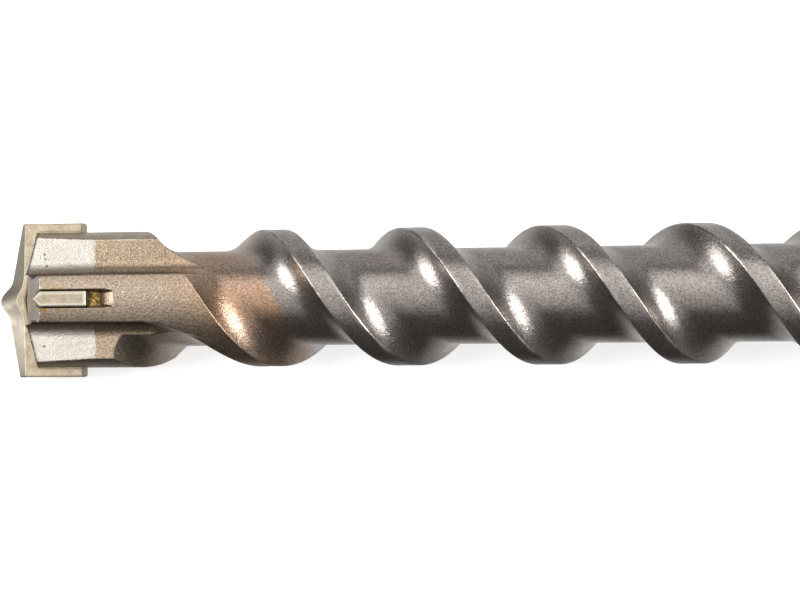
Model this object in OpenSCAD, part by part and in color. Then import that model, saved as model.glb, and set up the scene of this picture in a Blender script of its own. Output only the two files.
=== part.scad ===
// Hammer drill bit for a masonry hammer: a steel body with a cross-shaped head, two helical flutes
// and a keyed 18 mm shank, a full-width carbide plate and two side inserts brazed into the head.
// Millimetres. The bit lies along X on its lands, with the origin at the centre of the strike face
// and +X out of the shank. Modules are written in the bit's own frame: Z runs back from the tip,
// X along the carbide plate and Y across it.

/* [Overall] */
// Length from the tip to the strike face
overall_length = 320; // [300:5:420]
// Distance from the tip to the end of the flute lands
flute_length = 191; // [150:1:200]
// Diameter that the bit drills, across the carbide plate
drill_d = 32.4; // [31:0.1:34]
// Diameter of the steel head and of the flute lands
steel_d = 28.5; // [27.5:0.1:29.5]

/* [Flutes] */
// Diameter of the core between the lands
core_d = 19.7; // [18.5:0.1:20.5]
// Lead of the helix, for one full turn
lead = 57.3; // [50:0.1:70]
// Width of a land along the bit
land_w = 4.7; // [3.5:0.1:7]
// Width of each hollow flank along the bit
flank_w = 7; // [5.5:0.1:8]
// Distance behind the tip at which a land's front edge crosses the plate's plane
land_t = 27.45; // [25:0.05:30]
// Distance by which a flute starts wider, where it cuts the wings
start_flare = 0.9; // [0:0.1:1.2]
// Length of a step along the sweep of the flutes
flute_step = 1.9; // [1.8:0.1:4]
// Length of the run-out at the end of the lands
runout_len = 9; // [5:0.5:14]

/* [Head] */
// Distance from the tip to the steel on the axis
head_front = 6.1; // [5.5:0.1:7]
// Slope of the steel front along the plate, per millimetre
roof_slope = 0.2; // [0.1:0.01:0.3]
// Slope of a rib's front, per millimetre
rib_front_slope = 0.6; // [0.4:0.01:0.8]
// Width of a rib between its straight side walls
rib_w = 9.6; // [8.6:0.1:10.4]
// Distance from the tip to the end of a rib's straight rear wall
rib_end = 34.3; // [32:0.1:37]
// Distance between the parallel flats of the wings
wing_w = 14.4; // [13.2:0.1:15]
// Distance between the wing flats at the front of the taper
wing_front_w = 11.5; // [10.5:0.1:13]
// Distance from the tip to the front of the wing taper
taper_start = 9.2; // [8:0.1:11]
// Distance from the tip to the end of the wing taper
taper_end = 22.9; // [20:0.1:25]
// Draft of the rib walls along the taper, in degrees
rib_draft = 0.8; // [0.4:0.1:1.5]
// Radius in the corner of a head groove
groove_r = 3.2; // [2.8:0.1:3.4]
// Angle by which the end of a closed head groove turns away from its rib
groove_turn = 16; // [8:1:24]
// Angle at which the end of a closed head groove rises out of the head
groove_rise = 20; // [12:1:30]

/* [Carbide plate] */
// Thickness of the plate
plate_t = 4; // [3:0.1:4.6]
// Distance from the tip to the plate's rear face
plate_end = 18.2; // [16:0.1:20]
// Distance from the tip to the outer corners, if the edge had no centring point
edge_t = 1.6; // [1.2:0.1:2.2]
// Slope of the cutting edges, per millimetre
edge_slope = 0.18; // [0.12:0.01:0.22]
// Distance of a cutting edge from the plate's middle plane
edge_offset = 1; // [0.6:0.1:1.4]
// Width of the centring point
point_w = 5; // [4:0.1:6]
// Distance from the tip to the front of the plate's flat sides
side_t = 5.75; // [5.3:0.05:6]

/* [Side inserts] */
// Thickness of a side insert
insert_t = 3; // [2.4:0.1:3.6]
// Distance from the tip to an insert's point
insert_front = 12.1; // [11.5:0.1:13.5]
// Length of an insert
insert_len = 11; // [8:0.1:12]
// Length of the insert's roof-shaped point
insert_point = 1.4; // [0.8:0.1:2]
// How far an insert stands proud of the steel
insert_proud = 0.3; // [0.1:0.05:0.6]
// Depth of the pocket below the steel's surface
pocket_depth = 2.6; // [2:0.1:3.4]
// Length of the open pocket behind an insert
pocket_rear = 5.3; // [3.5:0.1:6]
// Length of the ramp at the rear of a pocket
pocket_ramp = 2.6; // [1:0.1:3]
// Corner radius at the rear of a pocket
pocket_r = 0.7; // [0.4:0.1:1.2]

/* [Braze] */
// Thickness of the braze film round the plate and the inserts
braze_t = 0.12; // [0.08:0.01:0.2]
// Length of the braze pool behind an insert
pool_len = 2.2; // [1:0.1:2.6]
// Height of the braze pool against an insert
pool_h = 1.2; // [0.6:0.1:1.8]

/* [Shank] */
// Diameter of the shank
shank_d = 18; // [17.5:0.1:18.5]
// Diameter of the neck between the flutes and the shank
neck_d = 20.2; // [19.4:0.1:21.4]
// Length of the shank, up to its shoulder
shank_len = 94; // [88:1:100]
// Length of the cone between the neck and the shank
neck_cone = 3; // [1:0.5:6]
// Chamfer round the strike face
strike_chamfer = 1.5; // [0.5:0.1:2.5]
// Width of a drive groove
drive_w = 4.6; // [3.6:0.1:5]
// Depth of a drive groove
drive_depth = 2.5; // [1.8:0.1:2.8]
// Length of a drive groove at full depth
drive_len = 50; // [42:1:54]
// Angle between each of the paired drive grooves and the line opposite the single one
drive_pair_angle = 38; // [34:1:42]
// Radius of the cutter that leaves a drive groove
drive_cutter_r = 25; // [18:1:30]
// Width of a locking recess
lock_w = 7.4; // [6:0.1:8]
// Depth of a locking recess
lock_depth = 2.6; // [2:0.1:3]
// Distance from the strike face to a locking recess
lock_start = 19; // [16:0.5:22]
// Length of a locking recess at full depth
lock_len = 22; // [16:0.5:26]
// Radius of the round ends of a locking recess
lock_cutter_r = 8; // [5:0.5:12]

/* [Hidden] */
$fn = 72;
steel_r = steel_d / 2;
core_r = core_d / 2;
neck_r = neck_d / 2;
drill_r = drill_d / 2;
shank_r = shank_d / 2;
plate_half = plate_t / 2;
rib_half = rib_w / 2;
wing_half = wing_w / 2;
outside = 2 * steel_d;                    // reaches past the steel from the axis

turn_per_mm = 360 / lead;
rib_angle = 90 + asin(rib_half / steel_r);
rib_excess = rib_angle - (rib_end - land_t) * turn_per_mm;
rib_blend = 2 * rib_excess / turn_per_mm;
flare_end = rib_end + 10;
flare_len = 8;
flute_nose_gap = 1;
wing_angle = asin(wing_half / steel_r);
taper_angle = atan((wing_half - wing_front_w / 2) / (taper_end - taper_start));
neck_end = overall_length - shank_len;
slot_half = plate_half + braze_t;
slot_end = plate_end + braze_t;
pocket_half = insert_t / 2 + braze_t;
pocket_floor = steel_r - pocket_depth;
pocket_end = insert_front + insert_len + pocket_rear;
// The bit rests on its lands, with the floor between a wing corner and a rib corner
rest_roll = (wing_angle + 90 - asin(rib_half / steel_r)) / 2;

// A flank is an arc that meets the core smoothly and a land in a sharp edge
flank_r = (flank_w * flank_w + pow(steel_r - core_r, 2)) / 2 / (steel_r - core_r);
land_extra = 1;                           // the lands are drawn higher, then turned down to steel_r
land_lip = land_extra * (flank_r - steel_r + core_r) / flank_w;
flank_steps = 6;
core_steps = 4;
land_steps = 4;

// Lays the bit down: along X, tip at -overall_length, turned to the way it rests
module lay_down() {
    rotate([-rest_roll, 0, 0]) translate([-overall_length, 0, 0]) rotate([180, 0, 0]) rotate([0, 90, 0])
        children();
}

// Both halves of something that is the same after half a turn
module twice() {
    for (half = [0, 180]) rotate([0, 0, half]) children();
}

// Angle of a land's rear edge, and of its front edge, at a distance t behind the tip.
// The rear edge starts a little early, where the flute is flared, and is a helix past flare_end.
// The front edge runs straight along the rib as far as rib_end, then bends in a parabola into the helix.
function land_rear(t) =
    (t - land_t - land_w + start_flare * min(1, max(0, (flare_end - t) / flare_len))) * turn_per_mm;
function land_front(t) =
    t < rib_end ? rib_angle :
    (t - land_t) * turn_per_mm + rib_excess * pow(max(0, rib_end + rib_blend - t) / rib_blend, 2);

// Radius of a flute's surface at a distance d along the bit from a land's edge
function flute_r(d) = core_r + flank_r - sqrt(pow(flank_r, 2) - pow(max(0, flank_w - d), 2));

// Half of a cross-section at t: [radius, angle] across a land, down a flank, across the core and up
// to the next land. Ahead of the nose of the flutes the section is closed and lies at the lands' height.
function half_ring(t) =
    let (gap = (land_rear(t) + 180 - land_front(t)) / turn_per_mm,
         width = max(gap, flute_nose_gap), from = land_front(t), to = from + width * turn_per_mm,
         used = min(flank_w, 0.4 * width), lip = land_lip * turn_per_mm,
         shares = [for (i = [1:flank_steps]) used * pow(i / flank_steps, 1.3)],
         down = concat(shares, [for (i = [1:core_steps - 1]) used + (width - 2 * used) * i / core_steps],
                       [for (i = [flank_steps - 1:-1:0]) width - shares[i]]))
    concat(
        [for (i = [0:land_steps]) [steel_r + land_extra,
                                   to - 180 + lip + (180 - 2 * lip - width * turn_per_mm) * i / land_steps]],
        [for (d = down) [gap <= 0 ? steel_r + land_extra : max(flute_r(d), flute_r(width - d)),
                         from + d * turn_per_mm]]);

function ring_points(t) = [
    for (half = [0, 180], p = half_ring(t)) [p[0] * cos(p[1] + half), p[0] * sin(p[1] + half), t]];

// The head and the lands with the two flutes swept along them, before they are turned to size
module fluted_rod() {
    nose = land_t + land_w - start_flare - (180 - rib_angle) / turn_per_mm;
    tail = flute_length + runout_len + 2;
    steps = ceil((tail - nose) / flute_step);
    slices = concat([-1], [for (j = [0:steps]) nose + (tail - nose) * j / steps]);
    ring = len(ring_points(nose));
    last = (steps + 1) * ring;
    centre = (steps + 2) * ring;
    polyhedron(
        points = concat([for (t = slices) each ring_points(t)], [[0, 0, -1], [0, 0, tail]]),
        faces = concat(
            [for (i = [0:ring - 1]) [centre, i, (i + 1) % ring]],
            [for (i = [0:ring - 1]) [centre + 1, last + (i + 1) % ring, last + i]],
            [for (j = [0:steps], i = [0:ring - 1]) let (k = (i + 1) % ring, b = j * ring)
                each [[b + i, b + ring + i, b + ring + k], [b + i, b + ring + k, b + k]]]));
}

// The steel before the head grooves are cut: lands and head, neck and shank
module steel_blank() {
    lands_end = flute_length + runout_len;
    intersection() {
        fluted_rod();
        rotate_extrude() polygon([
            [0, 0], [steel_r, 0], [steel_r, flute_length], [neck_r - 0.2, lands_end],
            [neck_r - 0.2, lands_end + 1], [0, lands_end + 1]]);
    }
    rotate_extrude() polygon([
        [0, lands_end], [neck_r, lands_end], [neck_r, neck_end - neck_cone], [shank_r, neck_end],
        [shank_r, overall_length - strike_chamfer], [shank_r - strike_chamfer, overall_length],
        [0, overall_length]]);
}

// Cross-section of a head groove, between a rib's wall and a wing's flat, with its round corner
module groove_profile(x, y) {
    difference() {
        translate([x, y]) square(outside);
        difference() {
            translate([x - 1, y - 1]) square(groove_r + 1);
            translate([x + groove_r, y + groove_r]) circle(groove_r);
        }
    }
}

// A groove between a rib and a wing: tapered at the front, then straight as far as t_end
module head_groove(t_end) {
    overlap = 3;
    translate([0, 0, taper_end - overlap]) linear_extrude(t_end - taper_end + overlap)
        groove_profile(rib_half, wing_half);
    translate([rib_half, wing_half, taper_end]) rotate([-taper_angle, rib_draft, 0])
        translate([0, 0, -outside]) linear_extrude(outside + overlap) groove_profile(0, 0);
}

// The closed groove also has a short end that turns away from the rib and rises out of the head
module closed_groove() {
    head_groove(rib_end);
    intersection() {
        translate([rib_half, wing_half, rib_end]) rotate([-groove_rise, groove_turn, 0])
            translate([0, 0, -10]) linear_extrude(outside) groove_profile(0, 0);
        translate([0, 0, rib_end]) cube(outside);
    }
}

// What is cut away in front of the head: a roof along the plate, and steeper fronts on the ribs,
// cut a little wider than the ribs
module head_front_cut() {
    rotate([90, 0, 0]) linear_extrude(2 * outside, center = true) polygon([
        [0, head_front], [outside, head_front + outside * roof_slope], [outside, -outside],
        [-outside, -outside], [-outside, head_front + outside * roof_slope]]);
    for (side = [-1, 1]) scale([1, side, 1]) rotate([90, 0, 90])
        linear_extrude(rib_w + 0.5, center = true) polygon([
            [plate_half, head_front], [outside, head_front + (outside - plate_half) * rib_front_slope],
            [outside, -outside], [plate_half, -outside]]);
}

// Pocket of a side insert: straight walls, rounded rear corners and a ramp out of the floor
module insert_pocket() {
    intersection() {
        rotate([-90, 0, 0]) linear_extrude(outside) union() {
            translate([-pocket_half, -pocket_end + pocket_r]) square([2 * pocket_half, pocket_end]);
            translate([-pocket_half + pocket_r, -pocket_end]) square([2 * (pocket_half - pocket_r), pocket_r + 1]);
            for (side = [-1, 1]) translate([side * (pocket_half - pocket_r), -pocket_end + pocket_r])
                circle(pocket_r);
        }
        rotate([90, 0, 90]) linear_extrude(4 * pocket_half, center = true) polygon([
            [pocket_floor, 0], [pocket_floor, pocket_end - pocket_ramp],
            [pocket_floor + pocket_depth / 2, pocket_end], [outside, pocket_end], [outside, 0]]);
    }
}

// A groove milled into the shank by a disc cutter: z from..to at full depth, and its run-outs
module shank_groove(width, depth, from, to, cutter_r) {
    bottom = shank_r - depth;
    translate([bottom, -width / 2, from]) cube([outside, width, to - from]);
    for (end = [from, to]) translate([bottom + cutter_r, 0, end]) rotate([90, 0, 0])
        cylinder(h = width, r = cutter_r, center = true);
}

module drive_groove() {
    shank_groove(drive_w, drive_depth, overall_length - drive_len, overall_length + drive_cutter_r,
                 drive_cutter_r);
}

module lock_recess() {
    shank_groove(lock_w, lock_depth, overall_length - lock_start - lock_len,
                 overall_length - lock_start, lock_cutter_r);
}

// The steel body, in one piece from the head to the strike face
module drill_body() {
    color([0.47, 0.44, 0.41]) lay_down() difference() {
        steel_blank();
        head_front_cut();
        twice() {
            head_groove(rib_end + rib_blend);
            mirror([1, 0, 0]) closed_groove();
            insert_pocket();
            lock_recess();
        }
        translate([-outside, -slot_half, -outside]) cube([2 * outside, 2 * slot_half, outside + slot_end]);
        for (a = [90, -90 - drive_pair_angle, -90 + drive_pair_angle]) rotate([0, 0, a]) drive_groove();
    }
}

// Front of the carbide plate along x: its cutting edge, and where its flat sides begin
function edge_at(x) = edge_t + edge_slope * abs(x) - edge_t * exp(-pow(2 * abs(x) / point_w, 3));
function side_at(x) = side_t + 0.02 * abs(x) - edge_t * exp(-pow(2 * abs(x) / point_w, 2));
function edge_y(x) = -edge_offset * x / sqrt(x * x + pow(point_w / 2, 2));

// The full-width carbide plate: a ridge of two cutting edges that rises to the centring point
module main_plate() {
    span = drill_r + 1;
    steps = 44;
    ring = 5;
    function section(x) = [
        [x, -plate_half, plate_end], [x, -plate_half, side_at(x)], [x, edge_y(x), edge_at(x)],
        [x, plate_half, side_at(x)], [x, plate_half, plate_end]];
    color([0.66, 0.62, 0.53]) lay_down() intersection() {
        polyhedron(
            points = [for (i = [0:steps]) each section(span * (2 * i / steps - 1))],
            faces = concat(
                [[for (k = [0:ring - 1]) k], [for (k = [ring - 1:-1:0]) k + steps * ring]],
                [for (i = [0:steps - 1], k = [0:ring - 1]) let (n = (k + 1) % ring, b = i * ring)
                    each [[b + k, b + ring + k, b + ring + n], [b + k, b + ring + n, b + n]]]));
        translate([0, 0, -1]) cylinder(h = plate_end + 2, r = drill_r);
    }
}

// Braze film in the plate's slot: both sides of the plate and behind it
module plate_braze() {
    color([0.72, 0.6, 0.33]) lay_down() intersection() {
        difference() {
            translate([-drill_r, -slot_half, 0]) cube([drill_d, 2 * slot_half, slot_end]);
            translate([-drill_r - 1, -plate_half, -1]) cube([drill_d + 2, plate_t, plate_end + 1]);
            head_front_cut();
        }
        cylinder(h = plate_end + 1, r = steel_r);
    }
}

// Outline of a side insert, seen from outside: its point towards the tip
module insert_outline(half) {
    polygon([
        [0, -insert_front], [half, -insert_front - insert_point], [half, -insert_front - insert_len],
        [-half, -insert_front - insert_len], [-half, -insert_front - insert_point]]);
}

module side_insert(side) {
    color([0.68, 0.64, 0.55]) lay_down() rotate([0, 0, side]) translate([0, pocket_floor + braze_t, 0])
        rotate([-90, 0, 0]) linear_extrude(pocket_depth + insert_proud - braze_t)
            insert_outline(insert_t / 2);
}

// Braze round a side insert: under it, along its sides, and a small pool behind it
module insert_braze(side) {
    rear = insert_front + insert_len;
    front = insert_front + insert_point;
    color([0.78, 0.62, 0.22]) lay_down() rotate([0, 0, side]) difference() {
        rotate([90, 0, 90]) linear_extrude(2 * pocket_half, center = true) polygon([
            [pocket_floor, front], [pocket_floor, rear + pool_len],
            [pocket_floor + pool_h, rear], [steel_r - 0.4, rear], [steel_r - 0.4, front + 1]]);
        translate([0, pocket_floor + braze_t, 0]) rotate([-90, 0, 0]) linear_extrude(outside)
            insert_outline(insert_t / 2);
    }
}

module side_insert_front() { side_insert(0); }
module side_insert_rear() { side_insert(180); }
module insert_braze_front() { insert_braze(0); }
module insert_braze_rear() { insert_braze(180); }

drill_body();
main_plate();
plate_braze();
side_insert_front();
side_insert_rear();
insert_braze_front();
insert_braze_rear();
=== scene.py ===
import bpy
import math
import numpy as np
from mathutils import Matrix, Vector


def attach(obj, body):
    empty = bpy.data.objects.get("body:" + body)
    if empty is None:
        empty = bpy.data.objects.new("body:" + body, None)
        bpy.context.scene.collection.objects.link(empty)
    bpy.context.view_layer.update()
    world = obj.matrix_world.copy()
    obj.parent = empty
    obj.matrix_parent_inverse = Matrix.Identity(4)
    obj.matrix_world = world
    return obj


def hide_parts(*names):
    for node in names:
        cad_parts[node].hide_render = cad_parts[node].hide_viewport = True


# A masonry drill bit, lying on its lands. Shapes are worked out in the bit's own frame, in millimetres:
# x along the carbide plate, y across it, t back from the tip, and turned angles from x towards y, in degrees.

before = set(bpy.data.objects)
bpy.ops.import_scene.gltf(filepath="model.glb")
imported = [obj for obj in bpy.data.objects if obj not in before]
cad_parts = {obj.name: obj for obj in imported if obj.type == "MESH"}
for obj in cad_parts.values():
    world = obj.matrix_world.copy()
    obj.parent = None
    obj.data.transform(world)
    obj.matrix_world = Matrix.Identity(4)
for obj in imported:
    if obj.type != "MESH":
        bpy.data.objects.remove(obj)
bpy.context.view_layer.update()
print("frame loaded")

body = dict(
    length=320.0, restRoll=50.31,
    steelR=14.25, coreR=9.85, neckR=10.1, shankR=9.0,
    lead=57.3, landW=4.7, flankW=7.0, landT=27.45, startFlare=0.9,
    ribHalf=4.8, ribEnd=34.3, ribDraft=0.8,
    wingHalf=7.2, wingFront=5.75, taperStart=9.2, taperEnd=22.9,
    grooveR=3.2, grooveTurn=15.0, grooveRise=12.0,
    headFront=6.1, roofSlope=0.2, ribFrontSlope=0.6, wingChamfer=0.3,
    landsEnd=191.0, neckStart=200.0,
)
b = body
turn = 360 / b["lead"]                                    # degrees of helix per millimetre
ribAngle = 90 + math.degrees(math.asin(b["ribHalf"] / b["steelR"]))
ribExcess = ribAngle - (b["ribEnd"] - b["landT"]) * turn
ribBlend = 2 * ribExcess / turn
taperSlope = (b["wingHalf"] - b["wingFront"]) / (b["taperEnd"] - b["taperStart"])
flankR = (b["flankW"] ** 2 + (b["steelR"] - b["coreR"]) ** 2) / 2 / (b["steelR"] - b["coreR"])
flankTop = b["flankW"] / (flankR - b["steelR"] + b["coreR"])   # slope of a flank where it meets a land


def layDown(p):
    # from the bit's own frame in millimetres to the scene in metres: along X, turned to its resting roll
    x, y, t = np.moveaxis(np.asarray(p, float), -1, 0)
    c, s = math.cos(math.radians(b["restRoll"])), math.sin(math.radians(b["restRoll"]))
    return np.stack([t - b["length"], x * s - y * c, x * c + y * s], -1) * 0.001


def polar(r, angle, t):
    # point at radius r and a turned angle in degrees
    a = np.radians(angle)
    r, a, t = np.broadcast_arrays(r, a, t)
    return np.stack([r * np.cos(a), r * np.sin(a), t], -1)


def softMin(u, v, k):
    # the lower of two surfaces, with their crossing rounded over a height k
    h = np.clip(0.5 + 0.5 * (v - u) / k, 0, 1)
    return v + (u - v) * h - k * h * (1 - h)


def hashNoise(x, y, seed):
    # smooth random field on a plane: values at whole-number corners, blended by s-curves
    def corner(i, j):
        n = np.sin(i * 127.1 + j * 311.7 + seed * 74.7) * 43758.5453
        return n - np.floor(n)
    i, j = np.floor(x), np.floor(y)
    u, v = x - i, y - j
    u, v = u * u * (3 - 2 * u), v * v * (3 - 2 * v)
    low = corner(i, j) * (1 - u) + corner(i + 1, j) * u
    high = corner(i, j + 1) * (1 - u) + corner(i + 1, j + 1) * u
    return (low * (1 - v) + high * v) * 2 - 1


def handling(t, angle, depth):
    # slight waviness of the turned surfaces, which closes on itself round the bit
    a = np.radians(angle)
    return depth * (hashNoise(0.8 * t + 3 * np.cos(a), 3 * np.sin(a) + 0.31 * t, 3) - 1)


def makeSurface(name, grid, material, masks=None, wrap=True, first=None, last=None, smooth=True):
    # a mesh from a grid of points (rows, columns, 3): columns close into a ring when wrap is set, and the
    # first and last rings can each be closed by a fan round a point. Each quad is split along the flatter
    # of its two diagonals, so that edges that cross the grid stay clean.
    rows, cols = grid.shape[:2]
    pts = layDown(grid).reshape(-1, 3)
    index = np.arange(rows * cols).reshape(rows, cols)
    across = np.roll(index, -1, 1) if wrap else index[:, 1:]
    here = index if wrap else index[:, :-1]
    q = np.stack([here[:-1], across[:-1], across[1:], here[1:]], -1).reshape(-1, 4)
    p = pts[q]
    n = np.cross(p[:, 1] - p[:, 0], p[:, 2] - p[:, 0]), np.cross(p[:, 2] - p[:, 0], p[:, 3] - p[:, 0])
    m = np.cross(p[:, 1] - p[:, 0], p[:, 3] - p[:, 0]), np.cross(p[:, 2] - p[:, 1], p[:, 3] - p[:, 1])
    fold = [np.sum(a * c, 1) / (np.linalg.norm(a, axis=1) * np.linalg.norm(c, axis=1) + 1e-20)
            for a, c in (n, m)]
    other = fold[1] > fold[0]
    tris = np.where(other[:, None, None], q[:, [[0, 1, 3], [1, 2, 3]]], q[:, [[0, 1, 2], [0, 2, 3]]])
    tris = tris.reshape(-1, 3)
    extra = []
    for point, ring, turned in ((first, index[0], True), (last, index[-1], False)):
        if point is None:
            continue
        centre = len(pts) + len(extra)
        extra.append(layDown(np.array(point, float)))
        nxt = np.roll(ring, -1)
        fan = np.stack([np.full(len(ring), centre), ring, nxt], -1)
        tris = np.vstack([tris, fan[:, [0, 2, 1]] if turned else fan])
    if extra:
        pts = np.vstack([pts, extra])
    area = np.linalg.norm(np.cross(pts[tris[:, 1]] - pts[tris[:, 0]], pts[tris[:, 2]] - pts[tris[:, 0]]), axis=1)
    tris = tris[area > 1e-13]
    mesh = bpy.data.meshes.new(name)
    mesh.vertices.add(len(pts))
    mesh.vertices.foreach_set("co", pts.ravel())
    mesh.loops.add(tris.size)
    mesh.loops.foreach_set("vertex_index", tris.ravel())
    mesh.polygons.add(len(tris))
    mesh.polygons.foreach_set("loop_start", np.arange(0, tris.size, 3))
    mesh.polygons.foreach_set("use_smooth", np.full(len(tris), smooth))
    mesh.update(calc_edges=True)
    for key, values in (masks or {}).items():
        flat = np.asarray(np.broadcast_to(values, (rows, cols)), float).ravel()
        flat = np.concatenate([flat, np.full(len(pts) - len(flat), flat[-1])])
        mesh.attributes.new(key, "FLOAT", "POINT").data.foreach_set("value", flat)
    piece = bpy.data.objects.new(name, mesh)
    bpy.context.scene.collection.objects.link(piece)
    mesh.materials.append(material)
    return piece


def newMaterial(name):
    mat = bpy.data.materials.new(name)
    mat.use_nodes = True
    nodes = mat.node_tree.nodes
    nodes.clear()
    out = nodes.new("ShaderNodeOutputMaterial")
    shader = nodes.new("ShaderNodeBsdfPrincipled")
    mat.node_tree.links.new(shader.outputs[0], out.inputs[0])
    return mat, mat.node_tree, shader


def addNode(tree, kind, values=None, **settings):
    node = tree.nodes.new(kind)
    for key, value in settings.items():
        setattr(node, key, value)
    for key, value in (values or {}).items():
        if isinstance(value, bpy.types.NodeSocket):
            tree.links.new(value, node.inputs[key])
        else:
            node.inputs[key].default_value = value
    return node


def mixColour(tree, factor, a, c, blend="MIX"):
    node = addNode(tree, "ShaderNodeMix", data_type="RGBA", blend_type=blend)
    for slot, value in ((0, factor), (6, a), (7, c)):
        if isinstance(value, bpy.types.NodeSocket):
            tree.links.new(value, node.inputs[slot])
        else:
            node.inputs[slot].default_value = value
    return node.outputs[2]


def calc(tree, operation, a, c=0.0, clamp=False):
    node = addNode(tree, "ShaderNodeMath", operation=operation, use_clamp=clamp)
    for slot, value in ((0, a), (1, c)):
        if isinstance(value, bpy.types.NodeSocket):
            tree.links.new(value, node.inputs[slot])
        else:
            node.inputs[slot].default_value = value
    return node.outputs[0]


def remap(tree, value, low, high, toLow=0.0, toHigh=1.0):
    node = addNode(tree, "ShaderNodeMapRange", {0: value, 1: low, 2: high, 3: toLow, 4: toHigh})
    return node.outputs[0]


def mask(tree, name):
    return addNode(tree, "ShaderNodeAttribute", attribute_name=name).outputs["Fac"]


def rgb(r, g, bl):
    # a colour as it is seen on screen, from 0 to 255, as the linear value that a socket takes
    return tuple(((c / 255 + 0.055) / 1.055) ** 2.4 if c > 10 else c / 255 / 12.92 for c in (r, g, bl)) + (1.0,)


def makeGrainGroup():
    # grain of blasted, pressed or cast metal: a height with two sizes of lump, and a mottle of broad patches
    group = bpy.data.node_groups.new("metalGrain", "ShaderNodeTree")
    group.interface.new_socket("Vector", in_out="INPUT", socket_type="NodeSocketVector")
    for name, value in (("Grain size", 0.0003), ("Coarse share", 0.5), ("Mottle size", 0.004)):
        group.interface.new_socket(name, in_out="INPUT", socket_type="NodeSocketFloat").default_value = value
    for name in ("Height", "Mottle", "Speck"):
        group.interface.new_socket(name, in_out="OUTPUT", socket_type="NodeSocketFloat")
    ins, outs = group.nodes.new("NodeGroupInput"), group.nodes.new("NodeGroupOutput")
    fineScale = calc(group, "DIVIDE", 1.0, ins.outputs["Grain size"])
    place = ins.outputs["Vector"]
    fine = addNode(group, "ShaderNodeTexNoise", {"Vector": place, "Scale": fineScale, "Detail": 3.0,
                                                 "Roughness": 0.6})
    coarseScale = calc(group, "MULTIPLY", fineScale, 0.37)
    coarse = addNode(group, "ShaderNodeTexNoise", {"Vector": place, "Scale": coarseScale, "Detail": 2.0,
                                                   "Roughness": 0.5})
    mottleScale = calc(group, "DIVIDE", 1.0, ins.outputs["Mottle size"])
    mottle = addNode(group, "ShaderNodeTexNoise", {"Vector": place, "Scale": mottleScale, "Detail": 4.0,
                                                   "Roughness": 0.6})
    share = ins.outputs["Coarse share"]
    height = calc(group, "ADD", calc(group, "MULTIPLY", fine.outputs[0], calc(group, "SUBTRACT", 1.0, share)),
                  calc(group, "MULTIPLY", coarse.outputs[0], share))
    group.links.new(height, outs.inputs["Height"])
    group.links.new(remap(group, mottle.outputs[0], 0.3, 0.7), outs.inputs["Mottle"])
    group.links.new(remap(group, fine.outputs[0], 0.35, 0.65), outs.inputs["Speck"])
    return group


grainGroup = makeGrainGroup()


def grain(tree, size, coarse, mottle):
    place = addNode(tree, "ShaderNodeTexCoord").outputs["Object"]
    node = tree.nodes.new("ShaderNodeGroup")
    node.node_tree = grainGroup
    tree.links.new(place, node.inputs["Vector"])
    node.inputs["Grain size"].default_value = size
    node.inputs["Coarse share"].default_value = coarse
    node.inputs["Mottle size"].default_value = mottle
    return node


def speckle(tree, colour, speck, low, high):
    # a colour made lighter and darker by the grain's specks
    level = remap(tree, speck, 0.0, 1.0, low, high)
    grey = addNode(tree, "ShaderNodeCombineColor", {0: level, 1: level, 2: level}).outputs[0]
    return mixColour(tree, 1.0, colour, grey, "MULTIPLY")


steelLook = dict(
    base=rgb(152, 145, 140), patch=rgb(126, 118, 113), warm=rgb(160, 141, 119), tint=rgb(170, 138, 113),
    bright=rgb(226, 222, 214), darkShade=rgb(36, 27, 21), ground=rgb(158, 153, 146), stain=rgb(140, 112, 48),
    grainSize=0.00036, bump=0.00013, roughness=0.3,
)


def makeSteel():
    mat, tree, shader = newMaterial("blastedSteel")
    k = steelLook
    g = grain(tree, k["grainSize"], 0.4, 0.005)
    colour = mixColour(tree, calc(tree, "MULTIPLY", g.outputs["Mottle"], 0.6), k["base"], k["patch"])
    colour = mixColour(tree, mask(tree, "head"), colour, k["warm"])
    colour = mixColour(tree, mask(tree, "brazed"), colour, k["tint"])
    colour = speckle(tree, colour, g.outputs["Speck"], 0.62, 1.34)
    colour = mixColour(tree, mask(tree, "ground"), colour, k["ground"])
    colour = mixColour(tree, mask(tree, "stain"), colour, k["stain"])
    # edges made lighter: partly wear, partly a painted highlight
    wornAndHighlight = calc(tree, "MULTIPLY", mask(tree, "edge"), remap(tree, g.outputs["Mottle"], 0.35, 0.75), True)
    colour = mixColour(tree, wornAndHighlight, colour, k["bright"])
    # painted shade: a dark colour laid where shade falls, in the grooves by the rib walls, round the pockets, along
    # the plate's slot and the wings' front edge, and in pits
    colour = mixColour(tree, mask(tree, "paintedShade"), colour, k["darkShade"])
    tree.links.new(colour, shader.inputs["Base Color"])
    shader.inputs["Metallic"].default_value = 0.95
    rough = remap(tree, g.outputs["Mottle"], 0.0, 1.0, k["roughness"] - 0.04, k["roughness"] + 0.05)
    rough = calc(tree, "ADD", rough, calc(tree, "MULTIPLY", mask(tree, "head"), 0.06))
    rough = calc(tree, "SUBTRACT", rough, calc(tree, "MULTIPLY", mask(tree, "smooth"), 0.12))
    rough = calc(tree, "ADD", rough, calc(tree, "MULTIPLY", mask(tree, "paintedShade"), 0.3))
    rough = calc(tree, "ADD", rough, calc(tree, "MULTIPLY", mask(tree, "ground"), 0.14))
    tree.links.new(rough, shader.inputs["Roughness"])
    depth = remap(tree, mask(tree, "head"), 0.0, 1.0, 0.62, 1.0)
    depth = calc(tree, "MULTIPLY", depth, calc(tree, "SUBTRACT", 1.0, calc(tree, "MULTIPLY", mask(tree, "smooth"), 0.7)))
    bump = addNode(tree, "ShaderNodeBump", {"Height": calc(tree, "MULTIPLY", g.outputs["Height"], depth),
                                            "Distance": k["bump"], "Strength": 1.0})
    tree.links.new(bump.outputs[0], shader.inputs["Normal"])
    return mat


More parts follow.
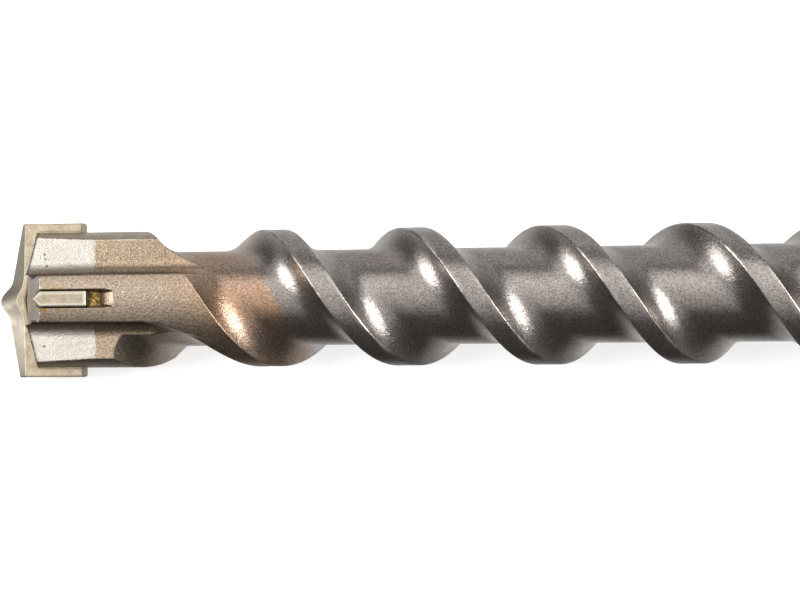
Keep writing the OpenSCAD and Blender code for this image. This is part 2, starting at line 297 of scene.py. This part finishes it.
carbideLook = dict(
    base=rgb(175, 162, 141), dark=rgb(148, 134, 112), ground=rgb(118, 112, 103), bright=rgb(232, 226, 210),
    darkShade=rgb(52, 38, 24), grainSize=0.0003, bump=0.00005,
)


def makeCarbide():
    mat, tree, shader = newMaterial("sinteredCarbide")
    k = carbideLook
    g = grain(tree, k["grainSize"], 0.3, 0.0025)
    colour = mixColour(tree, g.outputs["Mottle"], k["base"], k["dark"])
    colour = speckle(tree, colour, g.outputs["Speck"], 0.75, 1.2)
    colour = mixColour(tree, mask(tree, "ground"), colour, k["ground"])
    # painted highlight: the plate's and inserts' edges and bevels made lighter
    colour = mixColour(tree, mask(tree, "edge"), colour, k["bright"])
    # painted shade where the carbide goes into the steel
    colour = mixColour(tree, mask(tree, "paintedShade"), colour, k["darkShade"])
    tree.links.new(colour, shader.inputs["Base Color"])
    shader.inputs["Metallic"].default_value = 0.7
    tree.links.new(remap(tree, g.outputs["Mottle"], 0.0, 1.0, 0.42, 0.54), shader.inputs["Roughness"])
    bump = addNode(tree, "ShaderNodeBump", {"Height": g.outputs["Height"], "Distance": k["bump"],
                                            "Strength": 1.0})
    tree.links.new(bump.outputs[0], shader.inputs["Normal"])
    return mat


brazeLook = dict(base=rgb(112, 90, 40), dark=rgb(36, 27, 14), bright=rgb(168, 142, 76),
                 grainSize=0.0008, bump=0.0005, poolFrom=-0.2969)


def makeBraze():
    mat, tree, shader = newMaterial("brazingAlloy")
    k = brazeLook
    g = grain(tree, k["grainSize"], 0.6, 0.0016)
    colour = mixColour(tree, g.outputs["Mottle"], k["dark"], k["base"])
    colour = mixColour(tree, calc(tree, "MULTIPLY", g.outputs["Speck"], 0.35), colour, k["bright"])
    # painted shadow: the braze darkened beside the insert, up to the insert's rear end
    along = addNode(tree, "ShaderNodeSeparateXYZ", {0: addNode(tree, "ShaderNodeTexCoord").outputs["Object"]}).outputs[0]
    poolShadow = remap(tree, along, k["poolFrom"], k["poolFrom"] + 0.0009)
    colour = mixColour(tree, poolShadow, k["dark"], colour)
    tree.links.new(colour, shader.inputs["Base Color"])
    shader.inputs["Metallic"].default_value = 0.85
    shader.inputs["Roughness"].default_value = 0.34
    bump = addNode(tree, "ShaderNodeBump", {"Height": g.outputs["Height"], "Distance": k["bump"],
                                            "Strength": 1.0})
    tree.links.new(bump.outputs[0], shader.inputs["Normal"])
    return mat


steel, carbide, braze = makeSteel(), makeCarbide(), makeBraze()
print("materials made")


def landRear(t):
    # angle of a land's rear edge: a helix, which starts early where the flute is flared
    flare = b["startFlare"] * np.clip((b["ribEnd"] + 10 - t) / 8, 0, 1)
    return (t - b["landT"] - b["landW"] + flare) * turn


def landFront(t):
    # angle of a land's front edge: straight along the rib, then a parabola into the helix
    bent = (t - b["landT"]) * turn + ribExcess * np.clip((b["ribEnd"] + ribBlend - t) / ribBlend, 0, None) ** 2
    return np.where(t < b["ribEnd"], ribAngle, bent)


def flankHeight(d):
    # radius on a flank at a distance d along the bit from a land's edge: an arc that meets the core smoothly,
    # carried on past the edge in a straight line
    arc = flankR - np.sqrt(flankR ** 2 - np.clip(b["flankW"] - d, 0, b["flankW"]) ** 2)
    return b["coreR"] + arc + flankTop * np.clip(-d, 0, None)


def fluteSurface(t, angle):
    # radius that the flutes leave at any point, ahead of their nose far outside the steel
    after = np.mod(angle - landFront(t), 180) / turn
    gap = (landRear(t) + 180 - landFront(t)) / turn
    half = 180 / turn
    outside = np.minimum(after - gap, half - after)
    inside = np.minimum(after, gap - after)
    d = np.where(after < gap, inside, -outside)
    r = flankHeight(d)
    return np.where(gap < 0.05, 40.0, np.maximum(r, b["coreR"]))


def grooveSurface(t, angle, closed):
    # radius that a head groove leaves: a flat wing side, a rib wall and a round corner between them.
    # The floor tapers at the front. A closed groove turns away from the rib and rises at its rear.
    back = np.clip(b["taperEnd"] - t, 0, None)
    floorY = b["wingHalf"] - taperSlope * back
    wallX = b["ribHalf"] - math.tan(math.radians(b["ribDraft"])) * back
    if closed:
        past = np.clip(t - b["ribEnd"], 0, None)
        floorY = floorY + math.tan(math.radians(b["grooveRise"])) * past
        wallX = wallX + math.tan(math.radians(b["grooveTurn"])) * past
    a = np.radians(np.clip(angle, 0.5, 89.5))
    c, s = np.cos(a), np.sin(a)
    r = np.maximum(wallX / c, floorY / s)
    ro = b["grooveR"]
    cx, cy = wallX + ro, floorY + ro
    low, high = np.arctan2(floorY, cx), np.arctan2(cy, wallX)
    along = cx * c + cy * s
    inner = along - np.sqrt(np.clip(along ** 2 - (cx ** 2 + cy ** 2 - ro ** 2), 0, None))
    r = np.where((a > low) & (a < high), inner, r)
    if not closed:
        r = r + np.clip(t - 53.0, 0, None) * 2.0
    return r


insert = dict(thickness=3.0, front=12.1, length=11.0, point=1.4, proud=0.3, bevel=0.25,
              pocketDepth=2.6, pocketHalf=1.62, pocketRear=5.3, pocketCorner=0.7, ramp=2.6)


def pocketSurface(t, angle):
    # radius in an insert's pocket: a flat floor that ramps up at the rear, with steep walls round it
    k = insert
    off = np.mod(angle, 180) - 90
    across = b["steelR"] * np.sin(np.radians(off))
    rear = k["front"] + k["length"] + k["pocketRear"]
    rise = np.clip(t - rear + k["ramp"], 0, None) * 0.5 * k["pocketDepth"] / k["ramp"]
    floor = b["steelR"] - k["pocketDepth"] + rise
    corner = k["pocketCorner"]
    dx = np.abs(across) - (k["pocketHalf"] - corner)
    dt = t - (rear - corner)
    out = np.hypot(np.clip(dx, 0, None), np.clip(dt, 0, None)) - corner + np.minimum(np.maximum(dx, dt), 0)
    return floor / np.maximum(np.cos(np.radians(off)), 0.3) + np.clip(out, 0, None) * 9.0


def steelSurface(t, angle):
    # radius of the steel, with what cut it: a head groove, a flute or a pocket
    quarter = np.mod(angle, 180)
    groove = np.where(quarter < 90, grooveSurface(t, quarter, False), grooveSurface(t, 180 - quarter, True))
    flute = fluteSurface(t, angle)
    pocket = pocketSurface(t, angle)
    cut = softMin(groove, flute, 0.16)
    r = softMin(cut, b["steelR"] - 0.01 + handling(t, angle, 0.012), 0.12)
    return softMin(r, pocket, 0.1), groove, flute, pocket


def frontSurface(x, y):
    # distance from the tip to the steel's front: a low roof along the plate, a little chamfered towards the
    # wings' corners, and steeper on the ribs, where the two slopes run smoothly into each other
    roof = b["headFront"] + b["roofSlope"] * np.abs(x)
    corner = np.clip((np.abs(x) - b["ribHalf"]) / (b["steelR"] - b["ribHalf"]), 0, 1)
    roof = roof + b["wingChamfer"] * (0.45 + 0.55 * corner) * np.clip(np.abs(y) - 2.05, 0, None)
    rib = b["headFront"] + b["ribFrontSlope"] * np.clip(np.abs(y) - 2, 0, None)
    onRib = np.clip((b["ribHalf"] + 0.35 - np.abs(x)) / 0.2, 0, 1)
    return -softMin(-roof, -(roof + (rib - roof) * onRib), 1.0 * onRib + 0.001)


head = dict(
    columns=300, rows=250, end=37.6, capRings=44, throatColumns=440, throatRows=200, throatEnd=57.4,
    pits=[(11.7, 9.4, 0.22), (11.9, 8.4, 0.2), (12.2, 6.9, 0.25), (14.4, -6.1, 0.22), (11.5, -9.6, 0.22)],
)


def brazingHeat(t, angle):
    # the head is warm in colour as far as a slanting line across the first flute, and most tinted before it
    a = np.radians(angle)
    bound = 61.5 - 6.0 * np.cos(a) + 0.7 * hashNoise(0.5 * t + 2 * np.cos(a), 2 * np.sin(a), 11)
    warm = np.clip((bound - t) / 16, 0, 1)
    level = 0.4 + 0.6 * np.exp(-((angle - 96) / 26) ** 2)
    return warm, level * np.clip((bound - t) / 1.8, 0, 1) * np.clip((t - bound + 22) / 10, 0, 1)


def steelMasks(p, t, angle, groove, flute, pocket):
    # where the steel is warm, tinted by brazing, ground bright, lighter at an edge from wear and a painted highlight,
    # darkened by painted shade in its grooves, pits and joints, or stained
    r = np.hypot(p[..., 0], p[..., 1])
    cut = np.minimum(np.minimum(groove, flute), pocket)
    inGroove = np.clip((flute - groove) / 0.4, 0, 1) * np.clip((b["steelR"] - groove) / 0.35, 0, 1)
    flat = np.clip((b["wingHalf"] + 2.2 - np.abs(p[..., 1])) / 1.5, 0, 1)
    taper = np.clip((b["taperEnd"] - t) / 0.25, 0, 1) * flat * np.clip((np.abs(p[..., 0]) - 5.2) / 1.4, 0, 1)
    side = b["steelR"] * np.cos(np.radians(angle))            # distance along the plate from an insert's middle
    outside = np.clip((r - b["steelR"] + 0.6) / 0.3, 0, 1)
    beside = np.exp(-((np.abs(side) - insert["pocketHalf"] - 0.35) / 0.6) ** 2) * np.clip((19.5 - t) / 2, 0, 1)
    # painted shade: a dark outline round each insert's pocket
    rim = np.exp(-(np.clip(np.abs(side) - insert["pocketHalf"], 0, None) / 0.16) ** 2)
    reach = insert["front"] + insert["length"] + insert["pocketRear"]
    rim = rim * np.clip((reach + 0.2 - t) / 0.2, 0, 1) * np.clip((t - insert["front"] + 0.6) / 0.4, 0, 1)
    # painted shade: a dark line beside the plate's slot
    slot = np.exp(-(np.clip(np.abs(p[..., 1]) - 2.12, 0, None) / 0.3) ** 2) * np.clip((11.5 - t) / 2, 0, 1)
    warm, heat = brazingHeat(t, angle)
    warm = warm * (1 - 0.45 * np.clip((b["steelR"] - flute) / 0.6, 0, 1) * (1 - inGroove))
    warm = warm * (1 - 0.3 * outside * (1 - inGroove))
    # painted shade: the groove walls by the rib darkened, as far as a little past the rib's end
    wall = np.clip((b["ribHalf"] + 0.9 - np.abs(p[..., 0])) / 0.9, 0, 1) * np.clip((13.4 - r) / 1.5, 0, 1)
    wall = wall * inGroove * np.clip((b["ribEnd"] + 8 - t) / 6, 0, 1) * np.clip(1.5 - np.abs(r - cut), 0, 1)
    # painted shade: small pits drawn as dark dots
    pits = sum(np.exp(-((t - place) ** 2 + (p[..., 0] - high) ** 2) / size ** 2) for place, high, size in head["pits"])
    pits = pits * (p[..., 1] > 0)
    # the pocket's lit rear ramp is kept clear of the painted shade
    pocketEnd = np.clip((t - reach + 2.9) / 0.8, 0, 1) * np.clip((reach - 0.1 - t) / 0.2, 0, 1)
    pocketEnd = pocketEnd * np.clip((insert["pocketHalf"] - 0.1 - np.abs(side)) / 0.2, 0, 1)
    # lighter edges where a cut meets the round: partly wear, partly a painted highlight
    edge = np.exp(-(np.abs(cut - b["steelR"]) / 0.13) ** 2) * (r > b["steelR"] - 0.4) * 0.8
    return {
        "edge": edge,
        "ground": taper * inGroove * 0.9,
        "head": warm, "brazed": heat,
        "paintedShade": np.clip(wall * 0.85 + np.maximum(rim * 0.75, slot * 0.8) + 0.8 * pits, 0, 0.92) * (1 - 0.85 * pocketEnd),
        "smooth": np.clip(inGroove - taper, 0, 1) * 0.3,
        "stain": beside * outside * np.clip(2.5 * hashNoise(1.1 * t, 0.3 * angle, 5) + 0.7, 0, 1) * 0.9,
    }


def makeHead():
    # the head: a fine grid of radii over the angle and the distance from the tip, in two pieces split at the
    # plate's plane, each with its half of the front face. The throat behind it is one closed ring.
    k = head
    pieces = []
    for part, start in (("headUpper", 0.0), ("headLower", 180.0)):
        base = np.linspace(0, 180, k["columns"] + 1)
        besidePocket = 90 + np.concatenate([np.linspace(-7.3, -3.6, 22), np.linspace(3.6, 7.3, 22)])
        angle = np.unique(np.concatenate([base, besidePocket])) + start
        tStart = np.full(angle.shape, 7.0)
        for _ in range(12):
            r = steelSurface(tStart, angle)[0]
            p = polar(r, angle, 0 * angle)
            tStart = frontSurface(p[:, 0], p[:, 1])
        v = np.linspace(0, 1, k["rows"])[:, None]
        t = tStart[None] + 0.1 + (k["end"] - tStart[None] - 0.1) * v
        around = np.broadcast_to(angle, t.shape)
        wall = polar(steelSurface(t, around)[0], around, t)
        rim = steelSurface(tStart, angle)[0]
        s = np.append((np.linspace(0, 1, k["capRings"]) ** 0.8)[:-1], 1.0)[:, None] * (1 - 0.1 / rim[None])
        x, y = s * rim * np.cos(np.radians(angle)), s * rim * np.sin(np.radians(angle))
        grid = np.concatenate([np.stack([x, y, frontSurface(x, y)], -1), wall])
        place = grid[..., 2]
        around = np.broadcast_to(angle, place.shape)
        cuts = steelSurface(place, around)[1:]
        masks = steelMasks(grid, place, around, *cuts)
        masks["ground"][:k["capRings"]] = 0.0
        masks["head"] = np.where(np.arange(len(grid))[:, None] < k["capRings"] - 1, 0.3, masks["head"])
        # painted shadow: a dark, uneven line along the wings' front edge
        onWing = np.clip((np.abs(grid[..., 0]) - b["ribHalf"] - 0.3) / 0.5, 0, 1)
        frontLine = np.exp(-((place - tStart[None] - 0.1) / 0.34) ** 2) * onWing * (place > tStart[None] - 0.05)
        frontLine = frontLine * np.clip(0.9 + 0.5 * hashNoise(3 * grid[..., 0], 2 * grid[..., 1], 23), 0, 1)
        masks["paintedShade"] = np.maximum(masks["paintedShade"], 0.85 * frontLine)
        pieces.append(makeSurface(part, grid, steel, masks, wrap=False))
    angle = np.linspace(0, 360, k["throatColumns"], endpoint=False)[None]
    t = np.linspace(k["end"] - 0.1, k["throatEnd"], k["throatRows"])[:, None]
    t, angle = np.broadcast_arrays(t, angle)
    r, *cuts = steelSurface(t, angle)
    grid = polar(r, angle, t)
    pieces.append(makeSurface("throat", grid, steel, steelMasks(grid, t, angle, *cuts)))
    return pieces


flutes = dict(start=57.1, rowStep=0.35, bevel=0.12, landColumns=6, flankColumns=16, coreColumns=12)


def makeFlutes():
    # the flutes behind the head: half a cross-section (land with bevelled edges, flank, core, flank) turned
    # along the helix, then run out at the end of the lands into the neck
    k = flutes
    t = np.arange(k["start"], b["neckStart"] + 0.3, k["rowStep"])[:, None]
    bev = k["bevel"]
    gap = 180 / turn - b["landW"]
    top = np.linspace(-b["landW"] + bev, -bev, k["landColumns"])
    land = np.concatenate([[-b["landW"] + bev * 0.35], top, [-bev * 0.35]])
    flank = bev * 0.45 + (b["flankW"] - bev * 0.45) * np.linspace(0, 1, k["flankColumns"]) ** 1.25
    core = np.linspace(b["flankW"], gap - b["flankW"], k["coreColumns"] + 2)[1:-1]
    d = np.concatenate([land, flank, core, gap - flank[::-1]])
    r = flankHeight(np.where(d > 0, np.minimum(d, gap - d), 0))
    r = np.where((d <= 0) & ((d > -bev * 0.5) | (d < -b["landW"] + bev * 0.5)), b["steelR"] - bev * 0.3, r)
    d2 = np.concatenate([d, d + 180 / turn])[None]
    r = np.tile(r, 2)[None]
    angle = (t - b["landT"] + d2) * turn
    slope = (b["steelR"] - b["neckR"] + 0.25) / (b["neckStart"] - b["landsEnd"])
    limit = b["steelR"] - slope * np.clip(t - b["landsEnd"], 0, None)
    radius = softMin(r + handling(t, angle, 0.012) * (d2 <= 0), limit + 0 * r, 0.2)
    grid = polar(radius, angle, t + 0 * angle)
    near = np.minimum(np.abs(d), np.minimum(np.abs(d + b["landW"]), np.abs(gap - d)))
    # the lands' edges made lighter: partly wear, partly a painted highlight
    edge = np.tile(np.exp(-(near / 0.12) ** 2), 2)[None] * 0.8
    warm, heat = brazingHeat(t, np.mod(angle, 360))
    masks = {"edge": edge, "paintedShade": 0.0, "head": warm, "brazed": heat, "ground": 0.0, "stain": 0.0,
             "smooth": 0.0}
    return makeSurface("flutes", grid, steel, masks)


shank = dict(
    start=199.4, coneStart=223.0, shankStart=226.0, chamfer=1.5,
    drive=dict(width=4.6, depth=2.5, length=50.0, cutter=25.0), driveAngles=(90.0, 232.0, 308.0),
    lock=dict(width=7.4, depth=2.6, start=19.0, length=22.0, cutter=8.0), lockAngles=(0.0, 180.0),
)


def makeShank():
    # neck and shank: a ring of points that follows each groove's walls and floor, whose height falls along
    # the cutter's circle at the ends. Points above a groove's floor drop to it, the rest stay on the round.
    k = shank
    shankR, end = b["shankR"], b["length"]
    t = np.unique(np.concatenate([
        [k["start"], k["start"] + 0.2, 200.2, k["coneStart"] - 0.15, k["coneStart"] + 0.15,
         k["shankStart"] - 0.15, k["shankStart"] + 0.15], np.linspace(200.5, k["coneStart"] - 0.3, 24),
        np.linspace(226.3, 256.0, 16), np.linspace(256.0, end - k["chamfer"] - 0.15, 150),
        [end - k["chamfer"] + 0.15, end - 0.15, end]]))
    outer = np.interp(t, [k["coneStart"], k["shankStart"], end - k["chamfer"], end - 0.1, end],
                      [b["neckR"], shankR, shankR, shankR - k["chamfer"] + 0.1, shankR - k["chamfer"]])[:, None]
    drive, lock = k["drive"], k["lock"]
    past = np.clip(end - drive["length"] - t, 0, drive["cutter"] - 0.01)
    driveFloor = shankR - drive["depth"] + drive["cutter"] - np.sqrt(drive["cutter"] ** 2 - past ** 2)
    lockFrom, lockTo = end - lock["start"] - lock["length"], end - lock["start"]
    past = np.clip(np.maximum(lockFrom - t, t - lockTo), 0, lock["cutter"] - 0.01)
    lockFloor = shankR - lock["depth"] + lock["cutter"] - np.sqrt(lock["cutter"] ** 2 - past ** 2)
    slots = [(a, drive["width"] / 2, driveFloor) for a in k["driveAngles"]]
    slots += [(a, lock["width"] / 2, lockFloor) for a in k["lockAngles"]]
    slots.sort()
    xs, ys, edges = [], [], []
    for i, (a, half, floor) in enumerate(slots):
        nextA, nextHalf, _ = slots[(i + 1) % len(slots)]
        u = np.concatenate([[-half - 0.12, -half, -half, -half, -half], np.linspace(-half, half, 9)[1:-1],
                            [half, half, half, half, half + 0.12]])
        u = u * np.minimum(outer / shankR, 1)
        top = np.sqrt(outer ** 2 - u ** 2)
        drop = np.array([0, 0.12, 1.2, 2.4, 9] + [9] * 7 + [9, 2.4, 1.2, 0.12, 0])[None]
        v = np.minimum(top, np.maximum(top - drop, np.minimum(floor[:, None], top)))
        c, s = math.cos(math.radians(a)), math.sin(math.radians(a))
        xs.append(v * c - u * s)
        ys.append(u * c + v * s)
        e = np.zeros(u.shape)
        e[:, [0, 1, -2, -1]] = 1
        edges.append(e * (floor[:, None] < shankR - 0.15) * (t[:, None] > 240))
        span = np.mod(nextA - a, 360)
        lo = a + np.degrees(np.arcsin((half + 0.12) / shankR))
        hi = a + span - np.degrees(np.arcsin((nextHalf + 0.12) / shankR))
        arc = np.linspace(lo, hi, 14)[1:-1][None]
        xs.append(outer * np.cos(np.radians(arc)))
        ys.append(outer * np.sin(np.radians(arc)))
        edges.append(np.zeros((len(t), 12)))
    x, y = np.concatenate(xs, 1), np.concatenate(ys, 1)
    grid = np.stack([x, y, np.broadcast_to(t[:, None], x.shape)], -1)
    edge = np.concatenate(edges, 1) * 0.7
    masks = {"edge": edge, "paintedShade": 0.0, "head": 0.0, "brazed": 0.0, "ground": 0.0, "stain": 0.0,
             "smooth": np.clip((t[:, None] - 224) / 4, 0, 1)}
    return makeSurface("shank", grid, steel, masks, last=(0, 0, end))


steelPieces = makeHead() + [makeFlutes(), makeShank()]
for piece in steelPieces:
    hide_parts("drill_body")
    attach(piece, "root")
print("steel made")


plate = dict(thickness=4.0, halfWidth=16.2, end=18.2, edgeT=1.6, edgeSlope=0.18, edgeOffset=1.0, pointW=5.0,
             sideT=5.75, bevel=0.1, stations=141)


def makePlate():
    # the carbide plate: for each station across it a section of two flat sides, a ridge and a flat rear,
    # with small bevels; the ends follow the drilled diameter
    k = plate
    s = np.linspace(-1, 1, k["stations"])[:, None]
    s = np.sign(s) * np.abs(s) ** 1.25
    x = s * k["halfWidth"]
    near = 2 * np.abs(x) / k["pointW"]
    front = k["edgeT"] + k["edgeSlope"] * np.abs(x) - k["edgeT"] * np.exp(-near ** 3)
    side = k["sideT"] + 0.02 * np.abs(x) - k["edgeT"] * np.exp(-near ** 2)
    ridge = -k["edgeOffset"] * x / np.sqrt(x ** 2 + (k["pointW"] / 2) ** 2)
    h, v = k["thickness"] / 2, k["bevel"]
    inset = v * (1 - np.clip((1 - np.abs(s)) * k["halfWidth"] / v, 0, 1))
    rear = k["end"] + 0 * x
    corners = [(-h + 0 * x, rear), (-h + 0 * x, side), (ridge, front), (h + 0 * x, side), (h + 0 * x, rear)]
    ys, ts, ground, edge = [], [], [], []
    for i, steps in enumerate((56, 10, 10, 56, 4)):
        (y0, t0), (y1, t1) = corners[i], corners[(i + 1) % 5]
        cut = np.clip(v / np.hypot(y1 - y0, t1 - t0), 0, 0.3)
        share = np.linspace(0, 1, steps)[None]
        w = np.concatenate([cut * 0.3, cut + (1 - 2 * cut) * share, 1 - cut * 0.3], 1)
        ys.append(y0 + (y1 - y0) * w)
        ts.append(t0 + (t1 - t0) * w)
        ground.append(np.full(w.shape, float(i in (1, 2))))
        # painted highlight along the edges of the plate's front faces
        rim = np.zeros(w.shape)
        rim[:, [0, -1]] = float(i in (1, 2))
        edge.append(rim)
    y, t = np.concatenate(ys, 1), np.concatenate(ts, 1)
    y = y * (1 - inset / h)
    t = t + ((side + k["end"]) / 2 - t) * inset / 6
    x = s * np.sqrt(k["halfWidth"] ** 2 - y ** 2)
    steelAt = b["headFront"] + b["roofSlope"] * np.abs(x)
    # painted shade: a dark line on the plate's sides where they go into the steel, and a dark band on its ends just
    # outside the steel
    darkShade = np.exp(-((t - steelAt + 0.1) / 0.26) ** 2) * (np.abs(x) < b["steelR"]) * (np.abs(y) > h - 0.1)
    outer = np.exp(-(np.clip(np.abs(x) - b["steelR"], 0, None) / 0.18) ** 2) * (np.abs(x) >= b["steelR"])
    masks = {"ground": np.concatenate(ground, 1) * 0.8, "edge": np.concatenate(edge, 1) * 0.5,
             "paintedShade": np.maximum(darkShade, outer * (t > steelAt)) * 0.8}
    grid = np.stack([x, y, t], -1)
    return makeSurface("carbidePlate", grid[:, ::-1], carbide, {m: w[:, ::-1] for m, w in masks.items()},
                       first=(-k["halfWidth"], 0, float(np.mean(t[0]))),
                       last=(k["halfWidth"], 0, float(np.mean(t[-1]))), smooth=False)


def makeInsert(name, side):
    # a side insert: its outline seen from outside, with a roof-shaped point, carried outwards, and bevelled
    k = insert
    h, f, n, e = k["thickness"] / 2, k["front"], k["front"] + k["point"], k["front"] + k["length"]
    v = k["bevel"]
    outline = np.array([(0, f), (h, n), (h, e), (-h, e), (-h, n)], float)
    following = np.roll(outline, -1, 0)
    cut = 0.1 / np.linalg.norm(following - outline, axis=1, keepdims=True)
    ring = np.stack([outline + (following - outline) * cut, following - (following - outline) * cut], 1)
    ring = ring.reshape(-1, 2)
    centre = np.array([0, (f + e) / 2])
    half = np.array([h, (e - f) / 2])
    outer = b["steelR"] + k["proud"]
    inner = b["steelR"] - k["pocketDepth"] + 0.12
    levels = [(inner, 0.0, 0.0), (outer - 0.5, 0.0, 0.6), (outer - 0.6 * v, 0.0, 0.0), (outer, v, 0.0),
              (outer, 0.5 * h, 0.0)]
    rows = [np.column_stack([(ring - centre) * (1 - d / half) + centre, np.full(len(ring), y)])
            for y, d, _ in levels]
    g = np.stack(rows)
    grid = np.stack([g[..., 0], g[..., 2], g[..., 1]], -1)
    if side < 0:
        grid = grid * np.array([-1, -1, 1])
    # painted shade: the insert's sides darkened round the line where they go into the pocket
    paintedShade = np.array([c for _, _, c in levels])[:, None]
    # the insert's bevel made lighter as a painted highlight
    masks = {"edge": np.array([0, 0, 0.5, 0.4, 0])[:, None], "ground": 0.25, "paintedShade": paintedShade}
    return makeSurface(name, grid, carbide, masks, first=(0, inner * side, centre[1]),
                       last=(0, outer * side, centre[1]), smooth=False)


carbidePieces = {"main_plate": makePlate(), "side_insert_front": makeInsert("insertFront", 1),
                 "side_insert_rear": makeInsert("insertRear", -1)}
for node, piece in carbidePieces.items():
    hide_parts(node)
    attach(piece, "root")
for node in ("plate_braze", "insert_braze_front", "insert_braze_rear"):
    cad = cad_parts[node]
    cad.data.materials.clear()
    cad.data.materials.append(braze)
print("carbide and braze made")


stage = dict(
    floorZ=-b["steelR"] * 0.001 - 0.00002, photoRoll=b["restRoll"] - 1.3,
    lens=69.75, eye=(-0.1997, -0.31715, 0.0),
    keySize=0.22, keyDistance=0.7, keyPower=4.4, fillPower=0.5, frontLevel=1.08, backLevel=0.75, darkLevel=0.02,
)


def fromPhoto(v):
    # a direction or place in the photograph's upright frame, turned with the bit to its resting roll
    a = math.radians(stage["photoRoll"])
    x, y, z = v
    return (x, y * math.cos(a) + z * math.sin(a), -y * math.sin(a) + z * math.cos(a))


def makeCamera():
    data = bpy.data.cameras.new("camera")
    data.sensor_width, data.lens = 36.0, stage["lens"]
    data.clip_start, data.clip_end = 0.01, 20.0
    cam = bpy.data.objects.new("camera", data)
    right = fromPhoto((0.99382805, 0.11035881, -0.01125776))
    down = fromPhoto((-0.01097636, -0.00315709, -0.99993477))
    ahead = fromPhoto((-0.11038716, 0.9938868, -0.00192627))
    turned = Matrix([[right[i], -down[i], -ahead[i]] for i in range(3)]).to_4x4()
    turned.translation = fromPhoto(stage["eye"])
    cam.matrix_world = turned
    bpy.context.scene.collection.objects.link(cam)
    bpy.context.scene.camera = cam


def addSoftbox(name, azimuth, elevation, power, size, distance, centre=(-0.24, 0, 0)):
    # an upright lamp at an angle to the right of the photograph's view, and above it, aimed at the bit
    a, e = math.radians(azimuth), math.radians(elevation)
    out = fromPhoto((math.sin(a) * math.cos(e), -math.cos(a) * math.cos(e), math.sin(e)))
    data = bpy.data.lights.new(name, "AREA")
    data.shape, data.size, data.size_y, data.energy = "RECTANGLE", size, 1.6 * size, power
    lamp = bpy.data.objects.new(name, data)
    lamp.location = [c + o * distance for c, o in zip(centre, out)]
    lamp.rotation_euler = (-Vector(out)).to_track_quat("-Z", "Y").to_euler()
    bpy.context.scene.collection.objects.link(lamp)


def makeWorld():
    # a studio seen only by the light: its level follows the angle round the bit, from the camera's side over
    # the top to the back, with a dark gap between the front and the back light, and falls off to the sides
    k = stage
    world = bpy.data.worlds.new("studio")
    world.use_nodes = True
    tree = world.node_tree
    tree.nodes.clear()
    out = tree.nodes.new("ShaderNodeOutputWorld")
    way = addNode(tree, "ShaderNodeTexCoord").outputs["Generated"]
    parts = [addNode(tree, "ShaderNodeVectorMath", {0: way, 1: fromPhoto(v)}, operation="DOT_PRODUCT").outputs["Value"]
             for v in ((0, -1, 0), (0, 0, 1), (1, 0, 0))]
    turned = calc(tree, "ARCTAN2", parts[1], parts[0])
    ramp = addNode(tree, "ShaderNodeValToRGB", {0: remap(tree, turned, -math.pi, math.pi)})
    stops = [(-180, k["backLevel"]), (-130, k["backLevel"]), (-110, k["darkLevel"]), (-44, k["darkLevel"]),
             (-24, 0.72 * k["frontLevel"]), (12, k["frontLevel"]), (28, 1.6 * k["frontLevel"]),
             (52, 1.3 * k["frontLevel"]),
             (58, k["darkLevel"]), (70, k["darkLevel"]), (76, k["backLevel"])]
    cells = ramp.color_ramp.elements
    while len(cells) < len(stops):
        cells.new(0.5)
    for cell, (angle, level) in zip(cells, stops):
        cell.position = (angle + 180) / 360
        cell.color = (level, level, level, 1)
    beside = remap(tree, calc(tree, "ABSOLUTE", parts[2]), 0.42, 0.72, 1.0, 0.12)
    level = calc(tree, "MULTIPLY", ramp.outputs[0], beside)
    light = addNode(tree, "ShaderNodeBackground", {"Color": (1, 1, 1, 1), "Strength": level})
    seen = addNode(tree, "ShaderNodeBackground", {"Color": (1, 1, 1, 1), "Strength": 1.0})
    mix = addNode(tree, "ShaderNodeMixShader")
    tree.links.new(tree.nodes.new("ShaderNodeLightPath").outputs["Is Camera Ray"], mix.inputs[0])
    tree.links.new(light.outputs[0], mix.inputs[1])
    tree.links.new(seen.outputs[0], mix.inputs[2])
    tree.links.new(mix.outputs[0], out.inputs[0])
    bpy.context.scene.world = world


def makeFloor():
    # a floor that the camera sees nearly white and that keeps a light shadow. Metal sees it dark in front of
    # the bit, as a black card would make it, and pale under and behind it.
    mat, tree, shader = newMaterial("paleFloor")
    path = tree.nodes.new("ShaderNodeLightPath")
    across = addNode(tree, "ShaderNodeSeparateXYZ", {0: addNode(tree, "ShaderNodeTexCoord").outputs["Object"]})
    behind = remap(tree, across.outputs[1], -0.016, -0.005)
    glossy = path.outputs["Is Glossy Ray"]
    tree.links.new(mixColour(tree, glossy, (0.45, 0.45, 0.45, 1), (0.035, 0.035, 0.035, 1)),
                   shader.inputs["Base Color"])
    shader.inputs["Roughness"].default_value = 0.9
    shader.inputs["Specular IOR Level"].default_value = 0.0
    glow = calc(tree, "ADD", calc(tree, "MULTIPLY", path.outputs["Is Camera Ray"], 0.75),
                calc(tree, "MULTIPLY", glossy, calc(tree, "MULTIPLY", behind, 0.85)))
    shader.inputs["Emission Color"].default_value = (1, 1, 1, 1)
    tree.links.new(glow, shader.inputs["Emission Strength"])
    z = stage["floorZ"]
    mesh = bpy.data.meshes.new("floor")
    mesh.from_pydata([(-3, -3, z), (3, -3, z), (3, 3, z), (-3, 3, z)], [], [(0, 1, 2, 3)])
    mesh.materials.append(mat)
    floor = bpy.data.objects.new("floor", mesh)
    bpy.context.scene.collection.objects.link(floor)


makeCamera()
addSoftbox("softboxLeft", -54, 4, stage["keyPower"], stage["keySize"], stage["keyDistance"])
addSoftbox("softboxRight", 54, 14, stage["keyPower"], stage["keySize"], stage["keyDistance"])
addSoftbox("softboxTop", 0, 20, stage["fillPower"], 0.6, 0.9)
makeWorld()
makeFloor()
bpy.context.scene.view_settings.view_transform = "Standard"
print("stage made")
